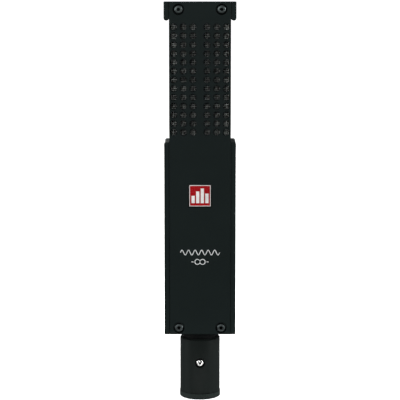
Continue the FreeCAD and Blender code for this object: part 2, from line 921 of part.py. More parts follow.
def ribbon():
    """Corrugated foil with a flat tab at each end, as a thin folded strip."""
    fold_step = (size("ribbon_length") - 2 * size("ribbon_tab")) / size("ribbon_folds")
    first_fold = size("ribbon_tab") - size("ribbon_length") / 2
    wave = size("ribbon_wave")
    end = size("ribbon_length") / 2
    folds = [
        (wave if fold % 2 else -wave, first_fold + fold * fold_step)
        for fold in range(1, int(size("ribbon_folds")))
    ]
    middle_line = [(0.0, -end), (0.0, first_fold), *folds, (0.0, -first_fold), (0.0, end)]
    half_thickness = size("ribbon_thickness") / 2
    left = -size("ribbon_width") / 2
    front = [Vector(left, y - half_thickness, z) for y, z in middle_line]
    back = [Vector(left, y + half_thickness, z) for y, z in reversed(middle_line)]
    side = Part.Face(Part.makePolygon([*front, *back, front[0]]))
    strip = doc.addObject("Part::Feature", "ribbon")
    strip.Shape = side.extrude(Vector(size("ribbon_width"), 0, 0))
    place(strip, z=MOTOR_BASE)
    return sub_part(strip, "ribbon")


def right_magnet():
    """Bar magnet between the ribbon and the yoke's right side."""
    body = new_body("right_magnet", x="(magnet_gap / 2 + yoke_window / 2) / 2", z=MOTOR_BASE)
    width = "(yoke_window - magnet_gap) / 2 - thread_gap"
    section = draw_rectangle(sketch_on(body, "XZ_Plane"), width, "magnet_height")
    pad(body, section, "yoke_depth", both_ways=True)
    return body


def yoke():
    """Soft iron ring that closes the magnets' circuit around the ribbon."""
    body = new_body("yoke", z=MOTOR_BASE)
    outline = draw_rectangle(sketch_on(body, "XZ_Plane"), "yoke_width", "yoke_height")
    pad(body, outline, "yoke_depth", both_ways=True)
    dress(body, "Fillet", edges_where(body, is_fore_and_aft), "yoke_corner")
    window = draw_rectangle(sketch_on(body, "XZ_Plane"), "yoke_window", "yoke_window_height")
    pocket(body, window, "yoke_depth", both_ways=True)
    thread = drill(
        body,
        "XZ_Plane",
        ("yoke_screw_across", "-yoke_screw_up", "-yoke_depth / 2"),
        "m16_radius + thread_gap",
        "yoke_thread_depth",
        along_normal=True,
    )
    repeat(body, [thread], window, rows=("2 * yoke_screw_up", "2"), mirrors=["YZ_Plane"])
    return body


def motor_plate():
    """Flat carrier behind the yoke, open behind the ribbon."""
    body = new_body("motor_plate", y="yoke_depth / 2", z=MOTOR_BASE)
    rounded_slab(body, "motor_plate_width", "motor_plate_height", "motor_plate_thickness", "corner_radius")
    window = draw_rectangle(sketch_on(body, "XZ_Plane"), "yoke_window", "magnet_height")
    pocket(body, window, "motor_plate_thickness")
    for at, hole in (
        (("yoke_screw_across", "-yoke_screw_up", "0"), "m16_radius + plate_gap"),
        (("motor_screw_across", "-motor_screw_up", "0"), "m2_radius + plate_gap"),
    ):
        clearance = drill(body, "XZ_Plane", at, hole, "motor_plate_thickness")
        rows = (f"-2 * ({at[1]})", "2")
        repeat(body, [clearance], window, rows=rows, mirrors=["YZ_Plane"])
    return body


def yoke_screws():
    """Four small screws, from behind, that hold the yoke to its carrier."""
    body = new_body("yoke_screws", y="yoke_depth / 2 + motor_plate_thickness", z=MOTOR_BASE)
    at = ("yoke_screw_across", "0", "-yoke_screw_up")
    face = add_screw(body, "y", at, "m16", "yoke_screw_length", head=1)
    repeat(body, [], face, rows=("2 * yoke_screw_up", "2"), mirrors=["YZ_Plane"])
    return body


def motor_screws():
    """Four screws that hold the motor's carrier to the frame's bosses."""
    body = new_body("motor_screws", y="yoke_depth / 2", z=MOTOR_BASE)
    at = ("motor_screw_across", "0", "-motor_screw_up")
    face = add_screw(body, "y", at, "m2", "motor_screw_length", head=-1)
    repeat(body, [], face, rows=("2 * motor_screw_up", "2"), mirrors=["YZ_Plane"])
    return body


def isolators():
    """Four rubber washers between the motor's carrier and the bosses."""
    body = new_body("isolators", y="boss_front", z=MOTOR_BASE)
    washer = sketch_on(body, "XZ_Plane", "motor_screw_across", "-motor_screw_up")
    pad(body, draw_circle(washer, "isolator_radius"), "isolator_thickness")
    at = ("motor_screw_across", "-motor_screw_up", "0")
    hole = ("m2_radius + plate_gap", "isolator_thickness")
    drill(body, "XZ_Plane", at, *hole, along_normal=True)
    repeat(body, [], washer, rows=("2 * motor_screw_up", "2"), mirrors=["YZ_Plane"])
    return body


def clamp_base(label, end):
    """Insulating block behind one of the ribbon's tabs, held in the yoke's window.

    end is +1 for the upper tab and -1 for the lower one.
    """
    inner = f"({CLAMP_MIDDLE} - ribbon_tab / 2)"
    height = f"(yoke_window_height / 2 - thread_gap - {inner})"
    body = new_body(label, y="ribbon_thickness / 2", z=MOTOR_BASE)
    block = sketch_on(body, "XZ_Plane", up=f"{end} * ({inner} + {height} / 2)")
    draw_rectangle(block, "yoke_window - 2 * thread_gap", height)
    pad(body, block, "yoke_depth / 2 - ribbon_thickness / 2", backwards=True)
    at = ("clamp_screw_offset", f"{end} * {CLAMP_MIDDLE}", "0")
    thread = drill(body, "XZ_Plane", at, "m16_radius + thread_gap", "clamp_thread_depth")
    repeat(body, [thread], block, mirrors=["YZ_Plane"])
    return body


def clamp_bars():
    """Two brass bars that press the ribbon's tabs against the clamp bases."""
    body = new_body("clamp_bars", y="-ribbon_thickness / 2", z=MOTOR_BASE)
    bar = sketch_on(body, "XZ_Plane", up=f"-{CLAMP_MIDDLE}")
    pad(body, draw_rectangle(bar, "clamp_bar_width", "ribbon_tab"), "clamp_bar_thickness")
    at = ("clamp_screw_offset", f"-{CLAMP_MIDDLE}", "0")
    hole = drill(
        body,
        "XZ_Plane",
        at,
        "m16_radius + plate_gap",
        "clamp_bar_thickness",
        along_normal=True,
    )
    repeat(body, [hole], bar, mirrors=["YZ_Plane"])
    repeat(body, [], bar, rows=(f"2 * {CLAMP_MIDDLE}", "2"))
    return body


def clamp_screws():
    """Two screws in each clamp bar."""
    body = new_body("clamp_screws", y="-ribbon_thickness / 2 - clamp_bar_thickness", z=MOTOR_BASE)
    at = ("clamp_screw_offset", "0", f"-{CLAMP_MIDDLE}")
    face = add_screw(body, "y", at, "m16", "clamp_screw_length", head=-1)
    repeat(body, [], face, rows=(f"2 * {CLAMP_MIDDLE}", "2"), mirrors=["YZ_Plane"])
    return body


# ---------------------------------------------------------------- electronics


def circuit_board():
    """Board across the bay, on the four lugs, with the transformer's bolt through it."""
    body = new_body("circuit_board", y="board_face", z=BODY_BASE)
    outline = draw_rectangle(sketch_on(body, "XZ_Plane", up="board_middle"), "board_width", "board_height")
    pad(body, outline, "board_thickness", backwards=True)
    at = ("lug_across", "board_middle - lug_up", "0")
    screw = drill(body, "XZ_Plane", at, "m2_radius + plate_gap", "board_thickness")
    repeat(body, [screw], outline, rows=("2 * lug_up", "2"), mirrors=["YZ_Plane"])
    bolt = ("0", "can_height", "0")
    drill(body, "XZ_Plane", bolt, "m3_radius + plate_gap", "board_thickness")
    return body


def board_screws():
    """Four screws, from behind, that hold the board to its lugs."""
    body = new_body("board_screws", y="board_face + board_thickness", z=BODY_BASE)
    at = ("lug_across", "0", "board_middle - lug_up")
    face = add_screw(body, "y", at, "m2", "board_screw_length", head=1)
    repeat(body, [], face, rows=("2 * lug_up", "2"), mirrors=["YZ_Plane"])
    return body


def new_transformer_part(label):
    """A body whose origin is the middle of the transformer's can."""
    return new_body(label, y="board_face - can_depth / 2", z=f"{BODY_BASE} + can_height")


def transformer_can():
    """Drawn shielding can, open towards the board."""
    body = new_transformer_part("transformer_can")
    half = "can_depth / 2"
    corners = [
        ("m3_radius + plate_gap", f"-{half}"),
        ("can_radius", f"-{half}"),
        ("can_radius", half),
        ("can_radius - can_wall", half),
        ("can_radius - can_wall", f"can_wall - {half}"),
        ("m3_radius + plate_gap", f"can_wall - {half}"),
    ]
    revolve(body, draw_outline(sketch_on(body, "XY_Plane"), corners))
    rims = edges_where(body, lambda edge: circle_at(edge, size("can_radius")))
    front_rim = min(rims, key=lambda name: reach_along(body.Shape.getElement(name), "y"))
    dress(body, "Fillet", [front_rim], "can_round")
    return body


def transformer_core():
    """Ring core of the output transformer."""
    body = new_transformer_part("transformer_core")
    section = sketch_on(body, "XY_Plane", across="core_middle")
    revolve(body, draw_rectangle(section, "core_width", "core_depth"), "Y_Axis")
    return body


def transformer_winding():
    """Two coils, each wound over just under half of the core."""
    body = new_transformer_part("transformer_winding")
    section = sketch_on(body, "XY_Plane", across="core_middle")
    draw_rectangle(section, "winding_width", "winding_depth")
    draw_rectangle(section, "core_width + winding_gap", "core_depth + winding_gap", "inner_")
    coil = revolve(body, section, "Y_Axis")
    coil.Midplane = True
    bind(coil, "Angle", "winding_sweep")
    repeat(body, [], section, mirrors=["YZ_Plane"])
    return body


def transformer_bolt():
    """Bolt through the can and the board."""
    body = new_transformer_part("transformer_bolt")
    add_screw(body, "y", ("0", "-can_depth / 2", "0"), "m3", "transformer_bolt_length", head=-1)
    return body


def transformer_nut():
    """Hexagon nut behind the board."""
    body = new_body("transformer_nut", y="board_face + board_thickness", z=f"{BODY_BASE} + can_height")
    flats = draw_hexagon(sketch_on(body, "XZ_Plane"), "nut_flats")
    pad(body, flats, "nut_height", backwards=True)
    drill(body, "XZ_Plane", ("0", "0", "0"), "m3_radius + thread_gap", "nut_height")
    return body


def new_component_row(label):
    """A body whose origin is on the board's front face, at the body's own bottom height."""
    return new_body(label, y="board_face", z=BODY_BASE)


def electrolytic_capacitors():
    """Three round capacitors standing out from the board."""
    body = new_component_row("electrolytic_capacitors")
    first = sketch_on(body, "XZ_Plane", across="-component_across", up="capacitor_low")
    pad(body, draw_circle(first, "capacitor_radius"), "capacitor_length")
    rims = edges_where(body, lambda edge: circle_at(edge, size("capacitor_radius")))
    top_rim = min(rims, key=lambda name: reach_along(body.Shape.getElement(name), "y"))
    dress(body, "Fillet", [top_rim], "capacitor_round")
    repeat(body, [], first, rows=spaced("capacitor_step", "capacitor_count"))
    return body


def film_capacitors():
    """Two box-shaped capacitors."""
    body = new_component_row("film_capacitors")
    first = sketch_on(body, "XZ_Plane", across="component_across", up="film_low")
    pad(body, draw_rectangle(first, "film_width", "film_height"), "film_width")
    repeat(body, [], first, rows=spaced("film_step", "film_count"))
    return body


def transistors():
    """Three small transistors with a flat side."""
    body = new_component_row("transistors")
    first = sketch_on(body, "XZ_Plane", across="component_across", up="transistor_low")
    pad(body, draw_circle(first, "transistor_radius"), "transistor_length")
    flat = sketch_on(
        body,
        "XZ_Plane",
        across="component_across",
        up="transistor_low + transistor_flat + transistor_radius",
        out="transistor_length",
    )
    draw_rectangle(flat, "2 * transistor_radius", "2 * transistor_radius")
    pocket(body, flat, "transistor_length")
    repeat(body, [], first, rows=spaced("transistor_step", "transistor_count"))
    return body


def resistors():
    """Six axial resistors lying on the board."""
    body = new_component_row("resistors")
    first = sketch_on(body, "YZ_Plane", across="-resistor_radius", up="resistor_low", out="-component_across")
    pad(body, draw_circle(first, "resistor_radius"), "resistor_length", both_ways=True)
    repeat(body, [], first, rows=spaced("resistor_step", "resistor_count"))
    return body


def cable_grommet():
    """Rubber grommet in the web, for the ribbon's leads."""
    body = new_body("cable_grommet", y="-grommet_forward", z=f"{BODY_BASE} + bay_top")
    web = "(motor_height - chamber_height / 2 - bay_top)"
    corners = [
        ("grommet_bore", "-grommet_lip"),
        ("grommet_flange", "-grommet_lip"),
        ("grommet_flange", "0"),
        ("grommet_radius", "0"),
        ("grommet_radius", web),
        ("grommet_flange", web),
        ("grommet_flange", f"{web} + grommet_lip"),
        ("grommet_bore", f"{web} + grommet_lip"),
    ]
    revolve(body, draw_outline(sketch_on(body, "XZ_Plane"), corners))
    return body


def wires(label, paths, radius):
    """A group of round wires, each through its own points."""
    bundle = doc.addObject("Part::Feature", label)
    bundle.Shape = Part.Compound([wire_along(path, radius, 2 * radius) for path in paths])
    return sub_part(bundle, label)


def ribbon_leads():
    """Two leads, from the clamp bars through the grommet to the board's top edge."""
    bar_front = -size("ribbon_thickness") / 2 - size("clamp_bar_thickness")
    clamp = (size("ribbon_length") - size("ribbon_tab")) / 2
    forward = -size("grommet_forward")
    side = size("lead_side")
    apart = size("lead_spacing") / 2
    above_web = size("grommet_lip") + size("lead_clearance") - size("chamber_height") / 2
    board_edge = size("board_middle") + size("board_height") / 2 - size("motor_height")
    board_top = board_edge - size("lead_inset")
    to_board = size("lug_across") / 2
    paths = [
        [
            Vector(0, bar_front, clamp),
            Vector(0, forward, clamp),
            Vector(side, forward, clamp),
            Vector(side, forward, above_web),
            Vector(apart, forward, above_web),
            Vector(apart, forward, board_top),
            Vector(to_board, forward, board_top),
            Vector(to_board, size("board_face"), board_top),
        ],
        [
            Vector(-apart, bar_front, -clamp),
            Vector(-apart, forward, -clamp),
            Vector(-apart, forward, board_top),
            Vector(-to_board, forward, board_top),
            Vector(-to_board, size("board_face"), board_top),
        ],
    ]
    leads = wires("ribbon_leads", paths, size("lead_radius"))
    place(leads, z=MOTOR_BASE)
    return leads


def output_wires():
    """A wire from each contact, through barrel and collar, to the board's lower edge."""
    neck = size("barrel_height") - size("barrel_top_wall")
    body_base = size("barrel_height") + size("collar_height")
    inside_bay = body_base + size("bay_bottom") + size("wire_clearance")
    board_edge = body_base + size("board_middle") - size("board_height") / 2
    board_low = board_edge + size("wire_inset")
    arc, count = CONTACT_RING
    paths = []
    for contact in range(count):
        turn = math.radians(arc * contact / (count - 1))
        away = Vector(math.cos(turn), math.sin(turn), 0)
        pin = away * size("pin_circle")
        near = away * size("wire_circle")
        board_x = size("wire_spacing") * ((count - 1) / 2 - contact)
        paths.append(
            [
                pin + Vector(0, 0, size("pin_top")),
                pin + Vector(0, 0, size("pin_top") + size("wire_stub")),
                near + Vector(0, 0, neck - size("wire_gap")),
                near + Vector(0, 0, inside_bay),
                Vector(board_x, -size("wire_forward"), board_low),
                Vector(board_x, size("board_face"), board_low),
            ]
        )
    return wires("output_wires", paths, size("wire_radius"))


# ---------------------------------------------------------------- assembly


def build():
    """Builds every sub-part."""
    frame()
    cover_plate("front_plate", -1, has_badge=True)
    cover_plate("rear_plate", 1)
    backwards = Vector(0, 1, 0)
    mirrored_copy(front_plate_screws(), "rear_plate_screws", backwards)
    mirrored_copy(front_gauze(), "rear_gauze", backwards)
    badge()
    neck_collar()
    barrel()
    barrel_screws()
    lock_screw()
    connector_insert()
    contact_pins()
    ribbon()
    mirrored_copy(right_magnet(), "left_magnet", Vector(1, 0, 0))
    yoke()
    motor_plate()
    yoke_screws()
    motor_screws()
    isolators()
    clamp_base("upper_clamp_base", 1)
    clamp_base("lower_clamp_base", -1)
    clamp_bars()
    clamp_screws()
    circuit_board()
    board_screws()
    transformer_can()
    transformer_core()
    transformer_winding()
    transformer_bolt()
    transformer_nut()
    electrolytic_capacitors()
    film_capacitors()
    transistors()
    resistors()
    cable_grommet()
    ribbon_leads()
    output_wires()
    doc.recompute()


def check():
    """Stops if any object failed or any sub-part is not a valid solid."""
    for thing in doc.Objects:
        assert not {"Invalid", "Error"} & set(thing.State), f"{thing.Name}: {thing.State}"
    for thing in sub_parts:
        assert not thing.Shape.isNull(), f"{thing.Label} is empty"
        assert thing.Shape.isValid(), f"{thing.Label} is not valid"
        assert thing.Shape.Volume > 0, f"{thing.Label} has no volume"


def write():
    """Writes one STEP file for each sub-part."""
    os.makedirs("parts", exist_ok=True)
    for thing in sub_parts:
        thing.Shape.exportStep(f"parts/{thing.Label}.step")


build()
check()
write()
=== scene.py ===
"""Looks of the slim ribbon microphone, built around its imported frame.

Everything is in metres and in the frame's own axes: +Z up, the front cover faces -Y.
"""

import json
import math

import bmesh
import bpy
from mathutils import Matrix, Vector


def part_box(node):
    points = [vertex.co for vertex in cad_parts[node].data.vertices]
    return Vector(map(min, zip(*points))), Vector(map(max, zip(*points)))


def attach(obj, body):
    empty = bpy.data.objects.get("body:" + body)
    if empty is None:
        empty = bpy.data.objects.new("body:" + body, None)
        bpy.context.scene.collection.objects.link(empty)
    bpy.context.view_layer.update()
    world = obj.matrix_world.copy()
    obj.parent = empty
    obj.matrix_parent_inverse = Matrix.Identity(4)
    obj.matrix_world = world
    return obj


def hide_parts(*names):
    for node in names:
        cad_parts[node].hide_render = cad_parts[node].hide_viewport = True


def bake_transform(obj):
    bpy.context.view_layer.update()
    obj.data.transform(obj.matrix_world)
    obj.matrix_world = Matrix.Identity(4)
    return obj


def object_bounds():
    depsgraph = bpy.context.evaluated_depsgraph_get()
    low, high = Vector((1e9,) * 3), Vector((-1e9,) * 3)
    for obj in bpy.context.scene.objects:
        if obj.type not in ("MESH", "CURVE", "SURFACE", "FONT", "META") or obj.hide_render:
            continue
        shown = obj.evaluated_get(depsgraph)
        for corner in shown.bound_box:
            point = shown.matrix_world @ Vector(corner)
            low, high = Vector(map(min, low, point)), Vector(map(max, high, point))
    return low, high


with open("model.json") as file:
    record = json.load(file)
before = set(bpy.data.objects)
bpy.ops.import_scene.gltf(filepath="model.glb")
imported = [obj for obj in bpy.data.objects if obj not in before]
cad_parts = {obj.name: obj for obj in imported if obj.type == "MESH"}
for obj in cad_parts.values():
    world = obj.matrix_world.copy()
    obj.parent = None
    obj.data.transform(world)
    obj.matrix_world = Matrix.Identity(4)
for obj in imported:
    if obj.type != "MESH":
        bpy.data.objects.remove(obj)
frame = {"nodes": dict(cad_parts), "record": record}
CAD_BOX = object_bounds()

MM = 0.001
ROOT = "microphone"


def box_middle(node):
    """The middle of a CAD node's box at rest."""
    low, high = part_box(node)
    return (low + high) / 2


# ---------------------------------------------------------------- node graph helpers


class Graph:
    """A material's node tree, with one short call for each kind of node used here."""

    def __init__(self, name):
        self.material = bpy.data.materials.new(name)
        self.material.use_nodes = True
        self.tree = self.material.node_tree
        self.shader = self.tree.nodes["Principled BSDF"]

    def node(self, kind, inputs=None, **settings):
        """Adds a node; inputs are numbers, colours or other nodes' sockets, by input name."""
        made = self.tree.nodes.new(kind)
        for key, value in settings.items():
            setattr(made, key, value)
        for key, value in (inputs or {}).items():
            self.feed(made.inputs[key], value)
        return made

    def feed(self, socket, value):
        if isinstance(value, bpy.types.NodeSocket):
            self.tree.links.new(value, socket)
        else:
            socket.default_value = value

    def set(self, **inputs):
        """Feeds the surface shader; underscores stand for the spaces in its inputs' names."""
        for key, value in inputs.items():
            self.feed(self.shader.inputs[key.replace("_", " ")], value)

    def millimetres(self, stretch=(1, 1, 1)):
        """Position on the object, in millimetres, each axis multiplied by a stretch."""
        place = self.node("ShaderNodeTexCoord").outputs["Object"]
        scale = [share / MM for share in stretch]
        return self.node("ShaderNodeMapping", {"Vector": place, "Scale": scale}).outputs[0]

    def position(self, axis):
        """One coordinate of the position on the object, in millimetres."""
        return self.node("ShaderNodeSeparateXYZ", {"Vector": self.millimetres()}).outputs[axis]

    def noise(self, per_mm, detail=3.0, stretch=(1, 1, 1)):
        """Noise from 0 to 1, mostly between 0.3 and 0.7, with a number of grains in a millimetre."""
        inputs = {"Vector": self.millimetres(stretch), "Scale": per_mm, "Detail": detail}
        return self.node("ShaderNodeTexNoise", inputs).outputs["Fac"]

    def spread(self, value, low, high, start=0.3, end=0.7):
        """Maps the range start..end of a value onto low..high."""
        inputs = {"Value": value, "From Min": start, "From Max": end, "To Min": low, "To Max": high}
        return self.node("ShaderNodeMapRange", inputs).outputs[0]

    def calc(self, operation, first, second=0.0):
        """One operation on numbers or on other nodes' sockets."""
        return self.node("ShaderNodeMath", {0: first, 1: second}, operation=operation).outputs[0]

    def times(self, first, second):
        return self.calc("MULTIPLY", first, second)

    def mix(self, share, first, second):
        """Colour mix: first where share is 0, second where it is 1."""
        made = self.node("ShaderNodeMix", {0: share, 6: first, 7: second}, data_type="RGBA")
        return made.outputs[2]

    def edges(self, width):
        """1 on convex and concave edges, 0 on flat faces, over about a width in metres."""
        rounded = self.node("ShaderNodeBevel", {"Radius": width}).outputs[0]
        true = self.node("ShaderNodeNewGeometry").outputs["True Normal"]
        dot = self.node("ShaderNodeVectorMath", {0: rounded, 1: true}, operation="DOT_PRODUCT")
        return self.spread(dot.outputs["Value"], 1.0, 0.0, 0.75, 0.995)

    def openness(self, reach, closed=0.35):
        """1 on open faces, 0 in narrow recesses, by what stands within a reach in metres.

        closed is the share of open surroundings below which a recess counts as shut.
        """
        made = self.node("ShaderNodeAmbientOcclusion", {"Distance": reach}, samples=8)
        return self.spread(made.outputs["AO"], 0.0, 1.0, closed, 0.85)

    def relief(self, height, depth, rounding=0.0):
        """Bump from a height, over normals rounded at the edges by a radius in metres."""
        inputs = {"Height": height, "Distance": depth, "Strength": 1.0}
        if rounding:
            inputs["Normal"] = self.node("ShaderNodeBevel", {"Radius": rounding}).outputs[0]
        self.set(Normal=self.node("ShaderNodeBump", inputs).outputs[0])


def linear(red, green, blue):
    """A display colour of 0 to 255 as the renderer's linear colour."""

    def curve(level):
        level /= 255
        return level / 12.92 if level <= 0.04045 else ((level + 0.055) / 1.055) ** 2.4

    return (curve(red), curve(green), curve(blue), 1.0)


def shade(colour, factor):
    """A colour made darker or lighter by a factor."""
    return (*[min(1.0, part * factor) for part in colour[:3]], 1.0)


# ---------------------------------------------------------------- materials


def painted(name, colour, roughness=0.5, gloss=0.08, wear=0.12, grain=2.6, floor_light_below=None):
    """Fine-textured paint: speckled grain, soft cloudiness and paler worn edges, with painted shade in
    seams, recesses and along edges.

    The stretch below a height in millimetres, where one is given, is painted paler, as painted light
    thrown up by the floor.
    """
    graph = Graph(name)
    clouds = graph.noise(0.05, detail=4)
    speckle = graph.noise(grain, detail=2)
    body = graph.mix(graph.spread(clouds, 0, 1), shade(colour, 0.92), shade(colour, 1.08))
    grainy = graph.mix(graph.spread(speckle, 0, 0.35), body, shade(colour, 1.6))
    scuffs = graph.spread(graph.noise(0.7, detail=5), 0.0, 1.0, 0.45, 0.65)
    worn = graph.times(graph.times(graph.edges(0.2 * MM), scuffs), wear)
    painted_surface = graph.mix(worn, grainy, shade(colour, 8.0))
    # painted light: paler below the given height, for light thrown up by the floor
    if floor_light_below:
        polish_and_floor_light = graph.spread(graph.position("Z"), 1.0, 0.0, floor_light_below - 0.3, floor_light_below)
        painted_surface = graph.mix(polish_and_floor_light, painted_surface, shade(colour, 2.2))
    # painted shade: near-black colour and no gloss in seams, recesses and along edges, where shade
    # falls
    clear_of_edge_shade = graph.spread(graph.edges(0.6 * MM), 1.0, 0.1, 0.0, 0.7)
    clear_of_painted_shade = graph.times(graph.openness(1.0 * MM), clear_of_edge_shade)
    graph.set(
        Base_Color=graph.mix(clear_of_painted_shade, shade(colour, 0.05), painted_surface),
        Roughness=graph.spread(speckle, roughness - 0.06, roughness + 0.08),
        Specular_IOR_Level=graph.times(clear_of_painted_shade, gloss),
    )
    graph.relief(speckle, 0.01 * MM, rounding=0.18 * MM)
    return graph.material


def metal(name, colour, roughness=0.3, brushed=(1, 1, 1), wear=0.3, tarnish=0.2, recessed=0.45):
    """Bare metal: fine drawn or turned lines, tarnish in patches, painted shade in recesses, brighter
    edges.

    recessed is the openness below which a recess is painted fully black, as shade.
    """
    graph = Graph(name)
    lines = graph.noise(5.0, detail=3, stretch=brushed)
    patches = graph.noise(0.25, detail=5)
    dulled = graph.mix(graph.spread(patches, 0, tarnish), colour, shade(colour, 0.45))
    lined = graph.mix(graph.spread(lines, 0, 0.35), dulled, shade(colour, 0.7))
    bright = graph.mix(graph.times(graph.edges(0.12 * MM), wear), lined, shade(colour, 1.5))
    graph.set(
        # painted shade: near-black where the surroundings close in, as in screw sockets
        Base_Color=graph.mix(graph.openness(3 * MM, recessed), shade(colour, 0.02), bright),
        Metallic=1.0,
        Roughness=graph.spread(lines, roughness - 0.07, roughness + 0.12),
    )
    graph.relief(lines, 0.004 * MM, rounding=0.08 * MM)
    return graph.material


# distance from the middle, in millimetres, over which the painted shade on the gauze's wires fades out
SHADE_FADE_RANGE = (11, 15)


def cloth_wire(name, colour, roughness=0.24, tarnish=0.95):
    """Coated wire: patchy tarnish, and painted shade that makes the cloth's middle darker than its
    sides.
    """
    graph = Graph(name)
    patches = graph.noise(0.9, detail=2)
    drawn = graph.noise(7.0, detail=2)
    dulled = graph.mix(graph.spread(patches, 0, tarnish, 0.43, 0.57), colour, shade(colour, 0.06))
    aside = graph.calc("ABSOLUTE", graph.position("X"))
    # painted shade: wires darker towards the cloth's middle, lighter towards its sides
    middle_shade = graph.spread(aside, 0.4, 0.0, *SHADE_FADE_RANGE)
    darkened = graph.mix(middle_shade, dulled, shade(colour, 0.05))
    graph.set(
        Base_Color=graph.mix(graph.spread(drawn, 0, 0.2), darkened, shade(colour, 0.5)),
        Metallic=0.05,
        Roughness=graph.spread(patches, roughness - 0.05, roughness + 0.2),
    )
    graph.relief(drawn, 0.01 * MM)
    return graph.material


def moulded(name, colour, roughness=0.45, grain=1.6, depth=0.01, gloss=0.5, rounding=0.15):
    """Moulded plastic or rubber: a fine spark-eroded grain and slightly polished edges."""
    graph = Graph(name)
    pits = graph.noise(grain, detail=4)
    drift = graph.noise(0.12, detail=3)
    body = graph.mix(graph.spread(drift, 0, 1), shade(colour, 0.85), shade(colour, 1.15))
    polish_and_floor_light = graph.times(graph.edges(0.2 * MM), 0.35)
    graph.set(
        Base_Color=graph.mix(polish_and_floor_light, body, shade(colour, 1.9)),
        Roughness=graph.spread(pits, roughness + 0.08, roughness - 0.06),
        Specular_IOR_Level=gloss,
    )
    graph.relief(pits, depth * MM, rounding=rounding * MM)
    return graph.material


def solder_mask(name, colour):
    """Circuit board: copper tracks as a relief under green mask, over a faint glass weave."""
    graph = Graph(name)
    face = {"X": graph.position("X"), "Y": graph.position("Z")}
    bricks = {
        "Vector": graph.node("ShaderNodeCombineXYZ", face).outputs[0],
        "Scale": 0.22,
        "Mortar Size": 0.04,
        "Mortar Smooth": 0.1,
        "Row Height": 0.6,
        "Brick Width": 1.4,
    }
    tracks = graph.node("ShaderNodeTexBrick", bricks).outputs["Fac"]
    weave = graph.noise(2.2, detail=1, stretch=(1, 1, 0.3))
    masked = graph.mix(graph.spread(weave, 0, 0.3), colour, shade(colour, 0.7))
    graph.set(
        Base_Color=graph.mix(graph.times(tracks, 0.6), masked, shade(colour, 2.2)),
        Roughness=graph.spread(weave, 0.28, 0.4),
    )
    graph.relief(tracks, 0.035 * MM, rounding=0.1 * MM)
    return graph.material


# resistor bands, in millimetres
BAND_PITCH = 1.1
BAND_HALF = 0.25
BAND_BLUR = 0.05


def banded(name, colour, bands):
    """Lacquered resistor: coloured bands around the body, across X."""
    graph = Graph(name)
    across = graph.position("X")
    middle = box_middle("resistors").x / MM
    surface = graph.mix(graph.spread(graph.noise(1.5), 0, 0.4), colour, shade(colour, 0.7))
    for step, band in enumerate(bands):
        place = middle + (step - (len(bands) - 1) / 2) * BAND_PITCH
        away = graph.calc("ABSOLUTE", graph.calc("SUBTRACT", across, place))
        on_band = graph.spread(away, 1.0, 0.0, BAND_HALF, BAND_HALF + BAND_BLUR)
        surface = graph.mix(on_band, surface, band)
    graph.set(Base_Color=surface, Roughness=0.3)
    graph.relief(graph.noise(1.2), 0.01 * MM, rounding=0.2 * MM)
    return graph.material


# turns of wire that would fit round the whole core
COIL_TURNS = 90.0


def wound(name, colour):
    """Coil: closely laid enamelled wire running around the core."""
    graph = Graph(name)
    place = graph.node("ShaderNodeTexCoord").outputs["Object"]
    middle = box_middle("transformer_core")
    away = graph.node("ShaderNodeVectorMath", {0: place, 1: middle}, operation="SUBTRACT").outputs[0]
    parts = graph.node("ShaderNodeSeparateXYZ", {"Vector": away}).outputs
    turn = graph.calc("ARCTAN2", parts["Z"], parts["X"])
    ridge = graph.calc("SINE", graph.times(turn, COIL_TURNS))
    height = graph.spread(ridge, 0, 1, -1, 1)
    patches = graph.spread(graph.noise(0.4), 0, 0.4)
    # painted shade: the grooves between the turns are darker than their tops
    lit = graph.mix(height, shade(colour, 0.35), colour)
    graph.set(
        Base_Color=graph.mix(patches, lit, shade(colour, 0.6)),
        Metallic=0.7,
        Roughness=0.32,
        Coat_Weight=0.5,
    )
    graph.relief(height, 0.08 * MM)
    return graph.material


BLACK = (0.0071, 0.0112, 0.0109, 1)
BARREL_BLACK = (0.0058, 0.0080, 0.0074, 1)
# in millimetres, like the height painted() takes
LIP_HEIGHT = 3.6
